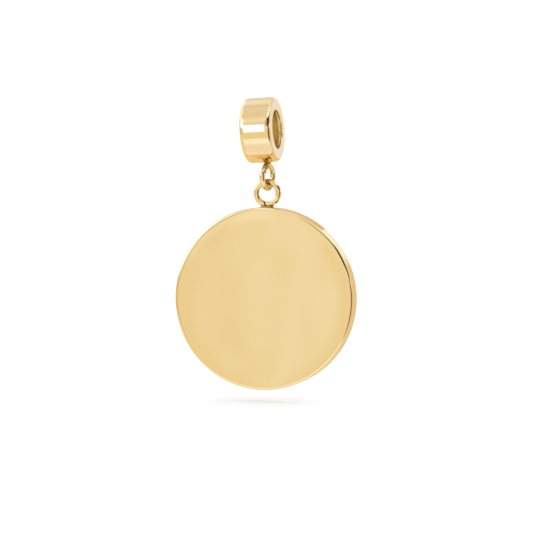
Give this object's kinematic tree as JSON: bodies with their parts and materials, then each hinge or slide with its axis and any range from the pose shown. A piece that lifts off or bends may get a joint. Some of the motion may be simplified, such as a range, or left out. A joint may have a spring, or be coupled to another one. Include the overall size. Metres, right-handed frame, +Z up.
{
  "type": "medallion charm",
  "caption": "Plain round medallion hanging from a short cylindrical bead with a through bore, joined by interlocked soldered wire rings, for threading on a bracelet.",
  "frame": {"origin": "middle of the bead's bore, where the bracelet that carries the charm passes", "axes": "+Z up as it hangs, -Y out of the medallion's face, +X to the right of the face. The bore runs nearly along X: the bead leans 4.5 degrees as it hangs in the picture, with its +X end up"},
  "size_m": [0.025, 0.0088, 0.0401],
  "materials": {
    "bead_gold": "mirror polished pale gold plating",
    "medallion_gold": "mirror polished pale gold plating"
  },
  "bodies": {
    "bead": {"bail_bead": "bead_gold"},
    "medallion": {"medallion": "medallion_gold"}
  },
  "joints": [
    {"name": "medallion_swing", "type": "hinge", "parent": "bead", "child": "medallion", "pos_m": [0.00087, 0, -0.00788], "axis": [0, 1, 0], "range_deg": [-105, 90]}
  ]
}
